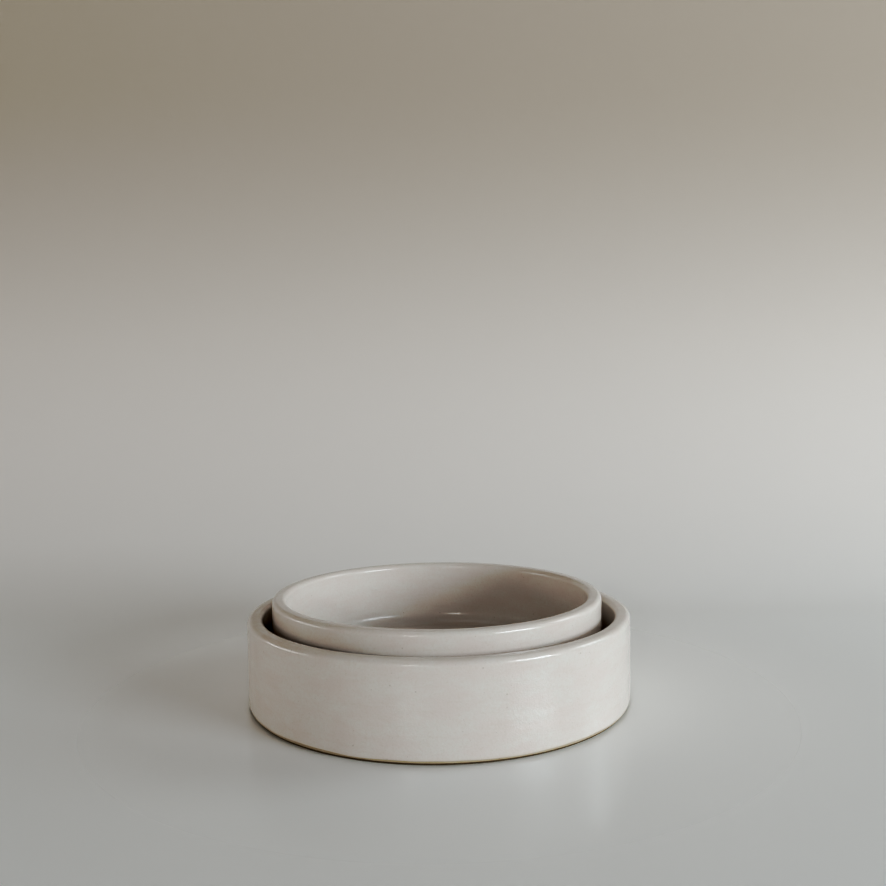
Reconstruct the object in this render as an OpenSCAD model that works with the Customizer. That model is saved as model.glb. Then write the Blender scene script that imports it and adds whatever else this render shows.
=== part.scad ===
// Nesting pair of straight-sided round stoneware dishes.
// The small dish stands loose on the floor of the large one.
// Each dish is a fired clay body with a glaze coat melted on to it; the foot is bare clay.
// Origin: centre of the large dish's foot, on the surface that it stands on. +Z is up.

/* [Large dish] */
// Outside diameter of the large dish
outer_d = 150; // [150:1:220]
// Wall thickness of the large dish, glaze included
outer_wall = 6; // [4.5:0.1:6.3]
// Rounding radius of the large dish's rim, outer side
outer_rim_r = 2.2; // [1:0.1:3.8]
// Fillet radius between the large dish's floor and wall, clear of the small dish's foot
outer_fillet_r = 4; // [3:0.1:4.3]

/* [Small dish] */
// Outside diameter of the small dish
inner_d = 129.6; // [90:0.2:130.2]
// Wall thickness of the small dish, glaze included
inner_wall = 5.5; // [4.5:0.1:6.5]
// Rounding radius of the small dish's rim, outer side
inner_rim_r = 1.9; // [1:0.1:3.2]
// Fillet radius between the small dish's floor and wall
inner_fillet_r = 5.2; // [3:0.2:12]
// How far the loose small dish stands off centre along X
nest_shift = -0.7; // [-1:0.1:1]

/* [Both dishes] */
// Height of each dish, foot to rim
dish_h = 34; // [24:0.5:60]
// Thickness of each dish's floor, foot ring to glaze
floor_t = 6.6; // [5:0.1:8]
// Rounding radius of the rim's inner side
lip_r = 2; // [1:0.1:2.5]

/* [Foot and glaze] */
// Height of the shallow step under the wall's lower edge
foot_lift = 0.7; // [0.5:0.05:1]
// Rounding radius of the wall's lower edge, in bare clay
foot_edge_r = 0.3; // [0.2:0.1:0.5]
// How far in from the wall's outside the foot ring starts, past that step
foot_inset = 0.9; // [0.8:0.1:3]
// Width of the foot ring that a dish stands on
foot_ring_w = 9; // [6:0.5:14]
// Depth of the hollow turned out inside the foot ring
foot_recess = 1.4; // [1:0.1:2]
// Thickness of the glaze coat
glaze_t = 0.4; // [0.3:0.05:0.6]
// Height above the foot where the glaze stops
glaze_line = 1.6; // [1.3:0.1:4]

/* [Hidden] */
$fn = 96;
clay_color = "#bfa888";
glaze_color = "#e3ddd4";
nest_z = floor_t;       // the small dish's foot stands on the large dish's glazed floor
recess_edge_r = 0.5;    // rounding in the corner of the turned hollow
past = 1;               // how far a cutting shape runs past what it cuts

// A square corner blank with a concave quarter circle of radius r taken out,
// its square corner at the origin and its arc facing +X +Y.
module fillet_blank(r) {
  difference() {
    square(r);
    translate([r, r]) circle(r);
  }
}

// Half section of the solid of one dish, with every glazed surface set in by inset:
// 0 gives the glaze's skin, and glaze_t gives the clay under it.
module dish_section(d, wall, rim_r, fillet_r, inset) {
  r_out = d / 2 - inset;
  r_in = d / 2 - wall + inset;
  top = dish_h - inset;
  floor_z = floor_t - inset;
  shoulder = rim_r - inset;
  lip = lip_r - inset;
  edge_z = foot_lift + foot_edge_r;
  union() {
    // floor slab and the foot ring that it stands on
    translate([0, foot_lift]) square([r_out - foot_edge_r, floor_z - foot_lift]);
    square([d / 2 - foot_inset, floor_z]);
    // wall between its lower edge and the rim
    translate([r_in, edge_z]) square([r_out - r_in, top - shoulder - edge_z]);
    translate([r_in, floor_z / 2]) square([lip, top - lip - floor_z / 2]);
    // flat of the rim, and the two rounded sides of it
    translate([r_in + lip, top - shoulder - lip])
      square([r_out - r_in - shoulder - lip, shoulder + lip]);
    translate([r_out - shoulder, top - shoulder]) circle(shoulder);
    translate([r_in + lip, top - lip]) circle(lip);
    // rounded lower edge of the wall
    translate([r_out - foot_edge_r, edge_z]) circle(foot_edge_r);
    // fillet between the floor and the wall
    translate([r_in, floor_z]) mirror([1, 0]) fillet_blank(fillet_r + inset);
  }
}

// The shallow hollow turned out of the underside, inside the foot ring.
module foot_hollow(d) {
  r = d / 2 - foot_inset - foot_ring_w;
  union() {
    translate([0, -past]) square([r - recess_edge_r, foot_recess + past]);
    translate([0, -past]) square([r, foot_recess - recess_edge_r + past]);
    translate([r - recess_edge_r, foot_recess - recess_edge_r]) circle(recess_edge_r);
  }
}

// Fired clay body of one dish.
module dish_body(d, wall, rim_r, fillet_r) {
  rotate_extrude() difference() {
    dish_section(d, wall, rim_r, fillet_r, glaze_t);
    foot_hollow(d);
  }
}

// Glaze coat of one dish: everything from the glaze line up, over the rim and down inside.
module dish_glaze(d, wall, rim_r, fillet_r) {
  rotate_extrude() difference() {
    dish_section(d, wall, rim_r, fillet_r, 0);
    dish_section(d, wall, rim_r, fillet_r, glaze_t);
    translate([0, -past]) square([d, glaze_line + past]);
  }
}

module outer_dish_body() {
  color(clay_color) dish_body(outer_d, outer_wall, outer_rim_r, outer_fillet_r);
}

module outer_dish_glaze() {
  color(glaze_color) dish_glaze(outer_d, outer_wall, outer_rim_r, outer_fillet_r);
}

module inner_dish_body() {
  color(clay_color) translate([nest_shift, 0, nest_z])
    dish_body(inner_d, inner_wall, inner_rim_r, inner_fillet_r);
}

module inner_dish_glaze() {
  color(glaze_color) translate([nest_shift, 0, nest_z])
    dish_glaze(inner_d, inner_wall, inner_rim_r, inner_fillet_r);
}

outer_dish_body();
outer_dish_glaze();
inner_dish_body();
inner_dish_glaze();
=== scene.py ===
"""Nesting pair of round glazed stoneware dishes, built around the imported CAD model.

Each dish is two pieces: the fired clay body, and the glaze coat melted on to it.
All lengths are in metres, in the CAD model's frame: the large dish's foot stands on z = 0.
"""
import math
from types import SimpleNamespace

import bmesh
import bpy
from mathutils import Matrix, Vector, noise


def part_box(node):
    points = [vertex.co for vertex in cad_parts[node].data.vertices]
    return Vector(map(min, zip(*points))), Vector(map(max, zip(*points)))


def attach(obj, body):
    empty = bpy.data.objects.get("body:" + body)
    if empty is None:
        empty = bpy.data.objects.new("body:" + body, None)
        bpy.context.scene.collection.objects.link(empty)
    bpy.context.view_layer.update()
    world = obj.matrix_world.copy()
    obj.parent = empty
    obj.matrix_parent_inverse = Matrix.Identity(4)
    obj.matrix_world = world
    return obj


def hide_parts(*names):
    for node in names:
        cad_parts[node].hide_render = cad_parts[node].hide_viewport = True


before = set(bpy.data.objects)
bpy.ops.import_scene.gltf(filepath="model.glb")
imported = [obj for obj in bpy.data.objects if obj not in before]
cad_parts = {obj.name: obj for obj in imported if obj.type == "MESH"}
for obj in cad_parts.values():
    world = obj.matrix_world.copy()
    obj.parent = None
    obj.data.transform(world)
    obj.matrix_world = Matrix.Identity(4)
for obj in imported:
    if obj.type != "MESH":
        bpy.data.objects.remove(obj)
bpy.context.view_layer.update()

MM = 0.001

# Section of a dish. Its outside sizes and its glaze line come from the frame's boxes.
FLOOR_T = 6.6 * MM          # floor thickness, foot ring to glaze
LIP_R = 2.0 * MM            # rounding of the rim's inner side
GLAZE_T = 0.4 * MM          # thickness of the glaze coat
FOOT_EDGE_R = 0.3 * MM      # rounding of the bare clay edge under the wall
FOOT_LIFT = 0.7 * MM        # height of the shallow step under that edge
FOOT_INSET = 0.9 * MM       # how far in from the wall the foot ring starts
FOOT_RING_W = 9.0 * MM      # width of the ring that the dish stands on
FOOT_RECESS = 1.4 * MM      # depth of the hollow inside the foot ring
RECESS_EDGE_R = 0.5 * MM    # rounding in the corner of that hollow

# Marks of hand throwing. None of them moves a surface out past the CAD box.
TUCK = 0.20 * MM            # how far the wall draws in towards the foot
TUCK_H = 9 * MM             # height over which it does
OVAL = 0.05 * MM            # out of round
RIM_DIP = 0.10 * MM         # unevenness of the rim's height
RIM_DIP_H = 8 * MM          # depth below the rim over which that fades
RING_DEPTH = 0.03 * MM      # depth of the throwing rings
RING_PITCH = 4.6 * MM       # their spacing up the wall and across the floor
DENT_DEPTH = 0.04 * MM      # shallow irregular dents
DENT_SIZE = 14 * MM
GLAZE_WAVE = 0.3 * MM       # waviness of the line where the glaze stops
GLAZE_WAVE_H = 3 * MM
TRIM_DEPTH = 0.10 * MM      # depth of the turning marks under the foot
TRIM_PITCH = 2.2 * MM

AROUND = 320                # steps round a dish
ARC_STEPS = 12              # steps in a rounded corner
STEP = 0.9 * MM             # longest step along a straight stretch

# Colours, linear.
GLAZE_COOL = (0.712, 0.675, 0.627)      # the glaze is a mottle of these two
GLAZE_WARM = (0.70, 0.625, 0.58)
GLAZE_THIN = (0.60, 0.52, 0.43)         # where it runs thin, and in faint dust and lines
SPECK = (0.26, 0.19, 0.125)             # iron
CLAY_PALE = (0.50, 0.42, 0.31)          # the clay is a mottle of these two
CLAY_DARK = (0.40, 0.32, 0.22)
CLAY_FOOT_SHADE = (0.15, 0.11, 0.065)         # painted shade round the outside of the foot ring, in the step under the wall
GROG = (0.22, 0.145, 0.085)             # coarse grains in the clay
STAGE_FLOOR = (0.92, 0.915, 0.90)
STAGE_BACK = (0.78, 0.73, 0.69)
STAGE_HIGH_SHADE = (0.45, 0.39, 0.33)         # painted shade: the backdrop's colour darkened high up


# ---------------------------------------------------------------- shape

def read_dish(name, wall, rim_r, fillet_r, seed):
    """Sizes of one dish: its outside from the frame, and its section from the values here."""
    body_low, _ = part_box(name + "_body")
    glaze_low, glaze_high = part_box(name + "_glaze")
    return SimpleNamespace(
        name=name, wall=wall, rim_r=rim_r, fillet_r=fillet_r, seed=seed,
        centre=Vector(((glaze_low.x + glaze_high.x) / 2, (glaze_low.y + glaze_high.y) / 2,
                       body_low.z)),
        radius=(glaze_high.x - glaze_low.x) / 2,
        height=glaze_high.z - body_low.z,
        glaze_line=glaze_low.z - body_low.z)


def line(start, end):
    """Points from start towards end, end left out, no more than STEP apart."""
    start, end = Vector(start), Vector(end)
    count = max(1, math.ceil((end - start).length / STEP))
    return [start.lerp(end, i / count) for i in range(count)]


def arc(centre, radius, start, end):
    """Points on an arc from start to end, in degrees, end left out."""
    angles = [math.radians(start + (end - start) * i / ARC_STEPS) for i in range(ARC_STEPS)]
    return [Vector(centre) + radius * Vector((math.cos(a), math.sin(a))) for a in angles]


def skin_section(dish, inset):
    """Half section (r, z) of the glazed skin, set in by inset.

    It runs from the glaze line up the outside, over the rim and down inside to the axis.
    Two insets give lists that match point for point.
    """
    r_out, r_in = dish.radius, dish.radius - dish.wall
    top = dish.height
    rim = Vector((r_out - dish.rim_r, top - dish.rim_r))
    lip = Vector((r_in + LIP_R, top - LIP_R))
    fillet = Vector((r_in - dish.fillet_r, FLOOR_T + dish.fillet_r))
    right, up = Vector((1, 0)), Vector((0, 1))

    def offset(points, direction):
        return [p - direction * inset for p in points]

    points = offset(line((r_out, dish.glaze_line), (r_out, rim.y)), right)
    points += arc(rim, dish.rim_r - inset, 0, 90)
    points += offset(line((rim.x, top), (lip.x, top)), up)
    points += arc(lip, LIP_R - inset, 90, 180)
    points += offset(line((r_in, lip.y), (r_in, fillet.y)), -right)
    points += arc(fillet, dish.fillet_r + inset, 0, -90)
    points += offset(line((fillet.x, FLOOR_T), (0, FLOOR_T)), up)
    return points + offset([Vector((0, FLOOR_T))], up)


def foot_section(dish):
    """Half section of the bare clay, from under the glaze line round the foot to the axis."""
    r_wall = dish.radius - GLAZE_T
    r_foot = dish.radius - FOOT_INSET
    r_recess = r_foot - FOOT_RING_W
    edge = Vector((r_wall - FOOT_EDGE_R, FOOT_LIFT + FOOT_EDGE_R))
    corner = Vector((r_recess - RECESS_EDGE_R, FOOT_RECESS - RECESS_EDGE_R))
    points = line((r_wall, dish.glaze_line), (r_wall, edge.y))[1:]
    points += arc(edge, FOOT_EDGE_R, 0, -90)
    points += line((edge.x, FOOT_LIFT), (r_foot, FOOT_LIFT))
    points += line((r_foot, FOOT_LIFT), (r_foot, 0))
    points += line((r_foot, 0), (r_recess, 0))
    points += line((r_recess, 0), (r_recess, corner.y))
    points += arc(corner, RECESS_EDGE_R, 0, 90)
    return points + line((corner.x, FOOT_RECESS), (0, FOOT_RECESS)) + [Vector((0, FOOT_RECESS))]


def fade(distance, reach):
    """1 at distance 0, easing to 0 at reach."""
    t = min(max(1 - distance / reach, 0), 1)
    return t * t * (3 - 2 * t)


def wander(dish, p, normal, angle):
    """How far the slow unevenness of the whole dish moves the true surface at p, as (dr, dz)."""
    around = Vector((math.cos(angle), math.sin(angle), dish.seed))
    shift = Vector((0, 0))
    # out of round, and drawn in towards the foot
    shift.x -= OVAL * (0.5 + 0.5 * math.cos(2 * angle + dish.seed)) * p.x / dish.radius
    if normal.x > 0.5:
        shift.x -= TUCK * fade(p.y, TUCK_H)
    # uneven rim
    dip = 0.5 + 0.5 * noise.noise(around * 1.3 + Vector((0, 0, 5)))
    shift.y -= RIM_DIP * dip * fade(dish.height - p.y, RIM_DIP_H)
    return shift


def spiral(along, pitch, angle):
    """Height, 0 to 1, of marks that wind up or outwards by one pitch in a turn."""
    return 0.5 + 0.5 * math.sin(2 * math.pi * (along / pitch + angle / (2 * math.pi)))


def thrown(dish, p, normal, angle):
    """How far the thrown and glazed surface is from the true one at p, as (dr, dz)."""
    place = Vector((p.x * math.cos(angle), p.x * math.sin(angle), p.y)) / DENT_SIZE
    # rings up the wall and out across the floor, fading away on the rounded corners
    ring = spiral(p.y if abs(normal.x) > abs(normal.y) else p.x, RING_PITCH, angle)
    calm = 0.5 + 0.5 * noise.noise(place * 0.6)
    flat = abs(abs(normal.x) - abs(normal.y))
    dent = 0.5 + 0.5 * noise.noise(place + Vector((0, 0, dish.seed)))
    inward = RING_DEPTH * ring * calm * flat + DENT_DEPTH * dent
    return wander(dish, p, normal, angle) - normal * inward


def turned(dish, p, normal, angle):
    """The same for the bare foot: the hollow is turned, and the ring round it stays flat."""
    shift = wander(dish, p, normal, angle)
    if p.y > FOOT_RECESS - RECESS_EDGE_R / 2 and normal.y < -0.9:
        shift.y += TRIM_DEPTH * spiral(p.x, TRIM_PITCH, angle)
    return shift


def normals_of(points):
    """Outward unit normals of a section that runs counter-clockwise round its solid."""
    found = []
    for i in range(len(points)):
        along = points[min(i + 1, len(points) - 1)] - points[max(i - 1, 0)]
        found.append(Vector((along.y, -along.x)).normalized())
    return found


def revolve(dish, section, shifts, name):
    """A closed solid of revolution from a section whose two ends are on the axis.

    shifts(i, angle) gives the hand-made (dr, dz) of section point i.
    """
    verts = [(0, 0, section[0].y), (0, 0, section[-1].y)]
    rows = range(1, len(section) - 1)
    for i in rows:
        for k in range(AROUND):
            angle = 2 * math.pi * k / AROUND
            shift = shifts(i, angle)
            r, z = section[i].x + shift.x, section[i].y + shift.y
            verts.append((r * math.cos(angle), r * math.sin(angle), z))
    faces = []
    for row in range(len(rows) - 1):
        a, b = 2 + row * AROUND, 2 + (row + 1) * AROUND
        for k in range(AROUND):
            n = (k + 1) % AROUND
            faces.append((a + k, a + n, b + n, b + k))
    last = 2 + (len(rows) - 1) * AROUND
    for k in range(AROUND):
        n = (k + 1) % AROUND
        faces += [(0, 2 + n, 2 + k), (1, last + k, last + n)]
    mesh = bpy.data.meshes.new(name)
    mesh.from_pydata([Vector(v) + dish.centre for v in verts], [], faces)
    tidy = bmesh.new()
    tidy.from_mesh(mesh)
    bmesh.ops.recalc_face_normals(tidy, faces=tidy.faces)
    tidy.to_mesh(mesh)
    tidy.free()
    mesh.shade_smooth()
    piece = bpy.data.objects.new(name, mesh)
    bpy.context.scene.collection.objects.link(piece)
    return piece


def glaze_wave(dish, p, angle):
    """How far the waviness of the glaze's lower edge moves p, up or down."""
    around = Vector((math.cos(angle), math.sin(angle), dish.seed))
    ripple = noise.noise(around * 2.5) + 0.5 * noise.noise(around * 9)
    return GLAZE_WAVE * ripple * fade(p.y - dish.glaze_line, GLAZE_WAVE_H)


def make_glaze(dish):
    """The glaze coat: a thin closed shell with a rolled lower edge."""
    outside = skin_section(dish, 0)
    inside = skin_section(dish, GLAZE_T)
    normals = normals_of(outside)
    middle = (outside[0] + inside[0]) / 2
    roll = arc(middle, GLAZE_T / 2, 180, 360)[1:]
    count = len(outside)
    section = inside[::-1] + roll + outside
    first_outside = count + len(roll)

    def shifts(i, angle):
        # both skins move together, so that the coat keeps its thickness
        match = count - 1 - i if i < count else max(0, i - first_outside)
        shift = thrown(dish, outside[match], normals[match], angle)
        shift.y += glaze_wave(dish, outside[match], angle)
        return shift

    return revolve(dish, section, shifts, dish.name + "_glaze_coat")


def make_clay(dish):
    """The clay body: the whole dish under its glaze, with the bare foot."""
    outside = skin_section(dish, 0)
    normals = normals_of(outside)
    foot = foot_section(dish)
    foot_normals = [-n for n in normals_of(foot)]      # the foot's section runs the other way
    count = len(outside)
    section = skin_section(dish, GLAZE_T)[::-1] + foot

    def shifts(i, angle):
        if i < count:
            match = count - 1 - i
            return thrown(dish, outside[match], normals[match], angle)
        return turned(dish, foot[i - count], foot_normals[i - count], angle)

    return revolve(dish, section, shifts, dish.name + "_clay")


# ---------------------------------------------------------------- materials

def new_material(name):
    """A material with only its output and its Principled shader: (material, tree, shader)."""
    material = bpy.data.materials.new(name)
    material.use_nodes = True
    tree = material.node_tree
    tree.nodes.clear()
    output = tree.nodes.new("ShaderNodeOutputMaterial")
    shader = tree.nodes.new("ShaderNodeBsdfPrincipled")
    tree.links.new(shader.outputs["BSDF"], output.inputs["Surface"])
    return material, tree, shader


def add(tree, kind, inputs=None, **settings):
    """A node whose inputs are values or other nodes' sockets."""
    made = tree.nodes.new("ShaderNode" + kind)
    for key, value in settings.items():
        setattr(made, key, value)
    for key, value in (inputs or {}).items():
        if isinstance(value, bpy.types.NodeSocket):
            tree.links.new(value, made.inputs[key])
        else:
            if isinstance(value, tuple) and len(value) == 3 and made.inputs[key].type == "RGBA":
                value = (*value, 1)
            made.inputs[key].default_value = value
    return made


def noise_at(tree, coords, size, detail=2.0, roughness=0.5):
    """Noise whose features are size metres across."""
    made = add(tree, "TexNoise", {"Vector": coords, "Scale": 1 / size, "Detail": detail,
                                  "Roughness": roughness})
    return made.outputs["Fac"]


def remap(tree, value, low, high, to_low=0.0, to_high=1.0):
    """A value eased from to_low to to_high while the one given goes from low to high."""
    made = add(tree, "MapRange", {"Value": value, "From Min": low, "From Max": high,
                                  "To Min": to_low, "To Max": to_high},
               interpolation_type="SMOOTHSTEP")
    return made.outputs["Result"]


def multiply(tree, a, b):
    return add(tree, "Math", {0: a, 1: b}, operation="MULTIPLY").outputs[0]


def mix(tree, factor, a, b):
    """Colour a where factor is 0, and b where it is 1."""
    made = add(tree, "Mix", {"Factor": factor}, data_type="RGBA")
    for key, value in ((6, a), (7, b)):
        if isinstance(value, bpy.types.NodeSocket):
            tree.links.new(value, made.inputs[key])
        else:
            made.inputs[key].default_value = (*value, 1)
    return made.outputs[2]


def specks(tree, coords, spacing, size, share):
    """Mask of sparse round specks, size across, in cells spacing apart; share of them show."""
    cells = add(tree, "TexVoronoi", {"Vector": coords, "Scale": 1 / spacing})
    edge = size / spacing / 2
    near = remap(tree, cells.outputs["Distance"], edge, edge * 0.5)
    chance = add(tree, "SeparateColor", {"Color": cells.outputs["Color"]}).outputs[0]
    chosen = add(tree, "Math", {0: chance, 1: share}, operation="LESS_THAN").outputs[0]
    return multiply(tree, near, chosen)


def bumps(tree, *layers):
    """Stacked bump nodes from (height, depth in metres) pairs."""
    normal = None
    for height, depth in layers:
        inputs = {"Height": height, "Distance": depth, "Strength": 1.0}
        if normal is not None:
            inputs["Normal"] = normal
        normal = add(tree, "Bump", inputs).outputs["Normal"]
    return normal


def glaze_material(dish):
    """Warm white satin glaze: mottled, speckled with iron, thinner and browner on the rim."""
    material, tree, shader = new_material("satin_glaze_" + dish.name)
    coords = add(tree, "TexCoord").outputs["Object"]
    height = add(tree, "SeparateXYZ", {"Vector": coords}).outputs["Z"]

    # mottle at four sizes, and faint lines drawn round the dish by the potter's hands
    banded = add(tree, "Mapping", {"Vector": coords, "Scale": (1, 1, 2.5)}).outputs["Vector"]
    cloud = noise_at(tree, banded, 14 * MM, 4, 0.6)
    grain = noise_at(tree, coords, 1.1 * MM, 3)
    color = mix(tree, remap(tree, cloud, 0.35, 0.65), GLAZE_COOL, GLAZE_WARM)
    color = mix(tree, remap(tree, grain, 0.3, 0.7, 0, 0.45), color, GLAZE_WARM)
    dust = noise_at(tree, coords, 0.7 * MM, 2, 0.6)
    color = mix(tree, remap(tree, dust, 0.45, 0.75, 0, 0.3), color, GLAZE_THIN)
    mottle = noise_at(tree, coords, 3.5 * MM, 5, 0.65)
    color = mix(tree, remap(tree, mottle, 0.4, 0.68, 0, 0.4), color, GLAZE_WARM)
    drawn = add(tree, "Mapping", {"Vector": coords, "Scale": (0.08, 0.08, 1)}).outputs["Vector"]
    lines = noise_at(tree, drawn, 1.0 * MM, 3)
    color = mix(tree, remap(tree, lines, 0.5, 0.75, 0, 0.12), color, GLAZE_THIN)

    # thinner and browner on the rim and just above the foot
    rim_z = dish.centre.z + dish.height
    thin = remap(tree, height, rim_z - 2.2 * MM, rim_z)
    patchy = remap(tree, noise_at(tree, coords, 5 * MM, 4), 0.3, 0.75, 0, 0.25)
    color = mix(tree, multiply(tree, thin, patchy), color, GLAZE_THIN)
    foot_z = dish.centre.z + dish.glaze_line
    thin_foot = remap(tree, height, foot_z + 0.9 * MM, foot_z - 0.2 * MM, 0, 0.35)
    color = mix(tree, thin_foot, color, GLAZE_THIN)

    # iron specks of two sizes
    large = multiply(tree, specks(tree, coords, 4.2 * MM, 0.70 * MM, 0.3), 0.34)
    small = multiply(tree, specks(tree, coords, 2.2 * MM, 0.34 * MM, 0.4), 0.46)
    color = mix(tree, large, color, SPECK)
    color = mix(tree, small, color, SPECK)
    tree.links.new(color, shader.inputs["Base Color"])

    # satin, with an orange-peel surface
    satin = remap(tree, noise_at(tree, coords, 9 * MM, 3), 0.3, 0.7, 0.14, 0.23)
    tree.links.new(satin, shader.inputs["Roughness"])
    shader.inputs["IOR"].default_value = 1.5
    peel = noise_at(tree, coords, 0.9 * MM, 2, 0.4)
    pull = noise_at(tree, coords, 6 * MM, 1)
    fine = noise_at(tree, coords, 0.45 * MM, 2, 0.5)
    tree.links.new(bumps(tree, (pull, 0.05 * MM), (peel, 0.034 * MM), (fine, 0.02 * MM)),
                   shader.inputs["Normal"])
    return material


def clay_material(dish):
    """Bare fired stoneware: buff, matt and gritty, with painted shade round the outside of the
    foot ring.
    """
    material, tree, shader = new_material("stoneware_clay_" + dish.name)
    coords = add(tree, "TexCoord").outputs["Object"]
    height = add(tree, "SeparateXYZ", {"Vector": coords}).outputs["Z"]
    cloud = noise_at(tree, coords, 7 * MM, 4, 0.6)
    grit = noise_at(tree, coords, 0.5 * MM, 4, 0.7)
    color = mix(tree, remap(tree, cloud, 0.25, 0.75, 0, 0.5), CLAY_PALE, CLAY_DARK)
    color = mix(tree, remap(tree, grit, 0.4, 0.7, 0, 0.45), color, CLAY_DARK)
    color = mix(tree, multiply(tree, specks(tree, coords, 1.3 * MM, 0.4 * MM, 0.5), 0.6), color,
                GROG)

    # painted shade round the outside of the foot ring, on the step's face under the wall's edge
    step_z = dish.centre.z + FOOT_LIFT
    from_axis = add(tree, "VectorMath", {0: coords, 1: (dish.centre.x, dish.centre.y, 0)},
                    operation="SUBTRACT").outputs["Vector"]
    flat = add(tree, "VectorMath", {0: from_axis, 1: (1, 1, 0)}, operation="MULTIPLY")
    out = add(tree, "VectorMath", {0: flat.outputs["Vector"]}, operation="LENGTH").outputs["Value"]
    ring_r = dish.radius - FOOT_INSET
    painted_foot_shade = multiply(tree, remap(tree, height, step_z, step_z - 0.12 * MM),
                       remap(tree, out, ring_r - 0.8 * MM, ring_r - 0.1 * MM))
    color = mix(tree, painted_foot_shade, color, CLAY_FOOT_SHADE)

    tree.links.new(color, shader.inputs["Base Color"])
    tree.links.new(remap(tree, grit, 0.3, 0.7, 0.78, 0.95), shader.inputs["Roughness"])
    pits = noise_at(tree, coords, 1.2 * MM, 3)
    tree.links.new(bumps(tree, (pits, 0.08 * MM), (grit, 0.05 * MM)), shader.inputs["Normal"])
    return material


# ---------------------------------------------------------------- stage, lights and camera

CAMERA_DISTANCE = 0.3701        # from the middle of the large dish's foot
CAMERA_ELEVATION = 0.3158       # radians above the table
CAMERA_PITCH = -0.0438          # radians, where negative is downwards
CAMERA_YAW = 0.0071             # radians, to the right
CAMERA_ROLL = -0.0125           # radians, a slight lean
LENS = 36.04                    # focal length in mm, for a sensor 36 mm wide
SENSOR = 36

SWEEP_START = 0.13              # behind the dish, where the floor starts to curve up
SWEEP_R = 0.17                  # radius of that curve
SWEEP_LEAD = 0.02               # a last flat strip, which keeps the curve's shading off the floor
STAGE_HALF = 0.75               # half the floor's width, and how far it comes forwards
STAGE_TOP = 0.9                 # height of the backdrop
STAGE_STEPS = 32                # in the curve
BACK_FADE = 0.08                # where the floor's colour starts to turn into the backdrop's
PAINTED_SHADE_HEIGHTS = (0.04, 0.36)      # heights between which painted shade darkens the backdrop
STAGE_ROUGHNESS = (0.15, 0.95)  # polished round the dish, matt further out
POLISHED_R = (0.10, 0.24)       # where the polish starts to fade, and where it ends

ROOM_COLOR = (1.0, 0.95, 0.88)
ROOM_LEVELS = (0.42, 0.06)      # brightness of the room, low down and high up
HORIZON = (0.12, 0.32)          # sines of elevation between which it changes

# Points of a tone curve that deepens the shadows and lifts the middle tones slightly.
TONE = ((0.03, 0.003), (0.13, 0.075), (0.24, 0.24), (0.5, 0.53))

# Name, azimuth, elevation, distance, width, height, level and colour: see softbox().
LIGHTS = (
    ("key_side", 53, 12, 1.5, 0.60, 0.40, 0.58, (0.84, 0.94, 1.0)),
    ("small_front", -15, 15, 1.5, 0.12, 0.12, 0.09, (1.0, 0.98, 0.95)),
    ("far_side", -104, 5, 1.4, 1.3, 0.22, 0.24, (0.96, 0.97, 0.95)),
    ("back_side", 100, 27, 1.3, 0.5, 0.4, 0.18, (0.88, 0.97, 1.0)),
    ("overhead", -100, 78, 1.3, 0.5, 0.5, 0.035, (1.0, 0.98, 0.95)),
)


def make_stage():
    """Plain pale floor that sweeps up into a backdrop, which has painted shade high up."""
    path = [(-STAGE_HALF, 0), (SWEEP_START - SWEEP_LEAD, 0), (SWEEP_START, 0)]
    for i in range(1, STAGE_STEPS + 1):
        a = math.pi / 2 * i / STAGE_STEPS
        path.append((SWEEP_START + SWEEP_R * math.sin(a), SWEEP_R * (1 - math.cos(a))))
    path.append((SWEEP_START + SWEEP_R, STAGE_TOP))
    verts = [(x, y, z) for y, z in path for x in (-STAGE_HALF, STAGE_HALF)]
    faces = [(2 * i, 2 * i + 1, 2 * i + 3, 2 * i + 2) for i in range(len(path) - 1)]
    mesh = bpy.data.meshes.new("stage_floor")
    mesh.from_pydata(verts, [], faces)
    mesh.shade_smooth()
    floor = bpy.data.objects.new("stage_floor", mesh)
    bpy.context.scene.collection.objects.link(floor)
    material, tree, shader = new_material("stage_pale")
    coords = add(tree, "TexCoord").outputs["Object"]
    place = add(tree, "SeparateXYZ", {"Vector": coords})
    back, height = place.outputs["Y"], place.outputs["Z"]
    color = mix(tree, remap(tree, back, BACK_FADE, SWEEP_START + SWEEP_R), STAGE_FLOOR,
                STAGE_BACK)
    # painted shade: the backdrop gets darker with height
    color = mix(tree, remap(tree, height, *PAINTED_SHADE_HEIGHTS), color, STAGE_HIGH_SHADE)
    tree.links.new(color, shader.inputs["Base Color"])
    away = add(tree, "VectorMath", {0: coords}, operation="LENGTH").outputs["Value"]
    rough = remap(tree, away, *POLISHED_R, *STAGE_ROUGHNESS)
    tree.links.new(rough, shader.inputs["Roughness"])
    mesh.materials.append(material)


def softbox(name, azimuth, elevation, distance, width, height, level, color):
    """A rectangular light facing the dish.

    Azimuth is in degrees from the camera's side towards +X. level is the brightness that it
    gives a white card facing it at the dish.
    """
    a, e = math.radians(azimuth), math.radians(elevation)
    way = Vector((math.sin(a) * math.cos(e), -math.cos(a) * math.cos(e), math.sin(e)))
    light = bpy.data.lights.new(name, "AREA")
    light.shape = "RECTANGLE"
    light.size, light.size_y = width, height
    light.energy = level * math.pi ** 2 * distance ** 2
    light.color = color
    lamp = bpy.data.objects.new(name, light)
    lamp.location = way * distance
    lamp.rotation_mode = "QUATERNION"
    lamp.rotation_quaternion = way.to_track_quat("Z", "Y")
    lamp.visible_camera = False
    bpy.context.scene.collection.objects.link(lamp)


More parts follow.
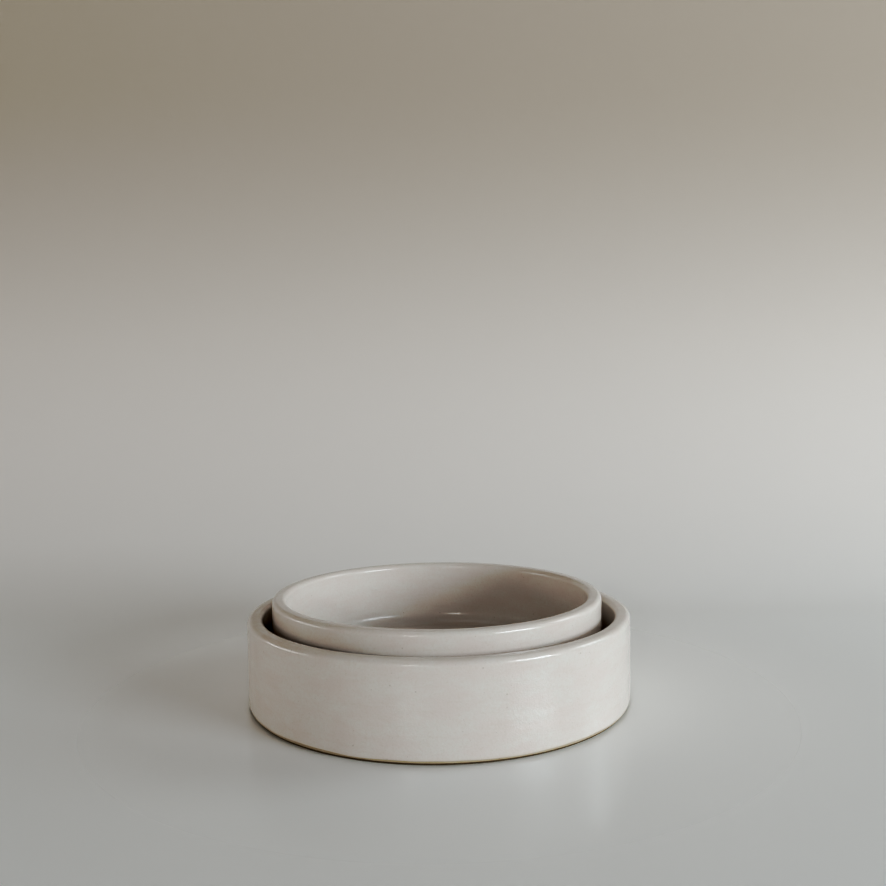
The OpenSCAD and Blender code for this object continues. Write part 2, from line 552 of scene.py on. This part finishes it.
def make_room():
    """Dim light from all round, which is brighter near the horizon."""
    world = bpy.data.worlds.new("room")
    world.use_nodes = True
    tree = world.node_tree
    background = tree.nodes["Background"]
    background.inputs["Color"].default_value = (*ROOM_COLOR, 1)
    way = add(tree, "SeparateXYZ", {"Vector": add(tree, "TexCoord").outputs["Generated"]})
    tree.links.new(remap(tree, way.outputs["Z"], *HORIZON, *ROOM_LEVELS),
                   background.inputs["Strength"])
    bpy.context.scene.world = world


def set_tone():
    """The picture's tone curve."""
    settings = bpy.context.scene.view_settings
    settings.view_transform = "Standard"
    settings.use_curve_mapping = True
    for point in TONE:
        settings.curve_mapping.curves[3].points.new(*point)
    settings.curve_mapping.update()


def make_camera():
    """Camera close to the dishes, a little above their rims and almost level."""
    data = bpy.data.cameras.new("camera")
    data.lens, data.sensor_width = LENS, SENSOR
    data.clip_start, data.clip_end = 0.01, 20
    camera = bpy.data.objects.new("camera", data)
    forward = Vector((math.sin(CAMERA_YAW) * math.cos(CAMERA_PITCH),
                      math.cos(CAMERA_YAW) * math.cos(CAMERA_PITCH), math.sin(CAMERA_PITCH)))
    right = Vector((math.cos(CAMERA_YAW), -math.sin(CAMERA_YAW), 0))
    up = right.cross(forward)
    lean = Matrix.Rotation(CAMERA_ROLL, 3, -forward)
    axes = Matrix((lean @ right, lean @ up, -forward)).transposed().to_4x4()
    axes.translation = CAMERA_DISTANCE * Vector(
        (0, -math.cos(CAMERA_ELEVATION), math.sin(CAMERA_ELEVATION)))
    camera.matrix_world = axes
    bpy.context.scene.collection.objects.link(camera)
    bpy.context.scene.camera = camera


# ---------------------------------------------------------------- build

def build_dish(dish):
    """Both pieces of one dish, each in place of its CAD node and riding on the dish's body."""
    pieces = ((make_clay(dish), "_body", "stoneware_clay", clay_material(dish)),
              (make_glaze(dish), "_glaze", "satin_glaze", glaze_material(dish)))
    for piece, ending, slot, material in pieces:
        piece.data.materials.append(material)
        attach(piece, dish.name)
        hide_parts(dish.name + ending)


make_camera()
make_stage()
for light in LIGHTS:
    softbox(*light)
make_room()
set_tone()
build_dish(read_dish("outer_dish", wall=6.0 * MM, rim_r=2.2 * MM, fillet_r=4.0 * MM, seed=1.7))
build_dish(read_dish("inner_dish", wall=5.5 * MM, rim_r=1.9 * MM, fillet_r=5.2 * MM, seed=8.3))
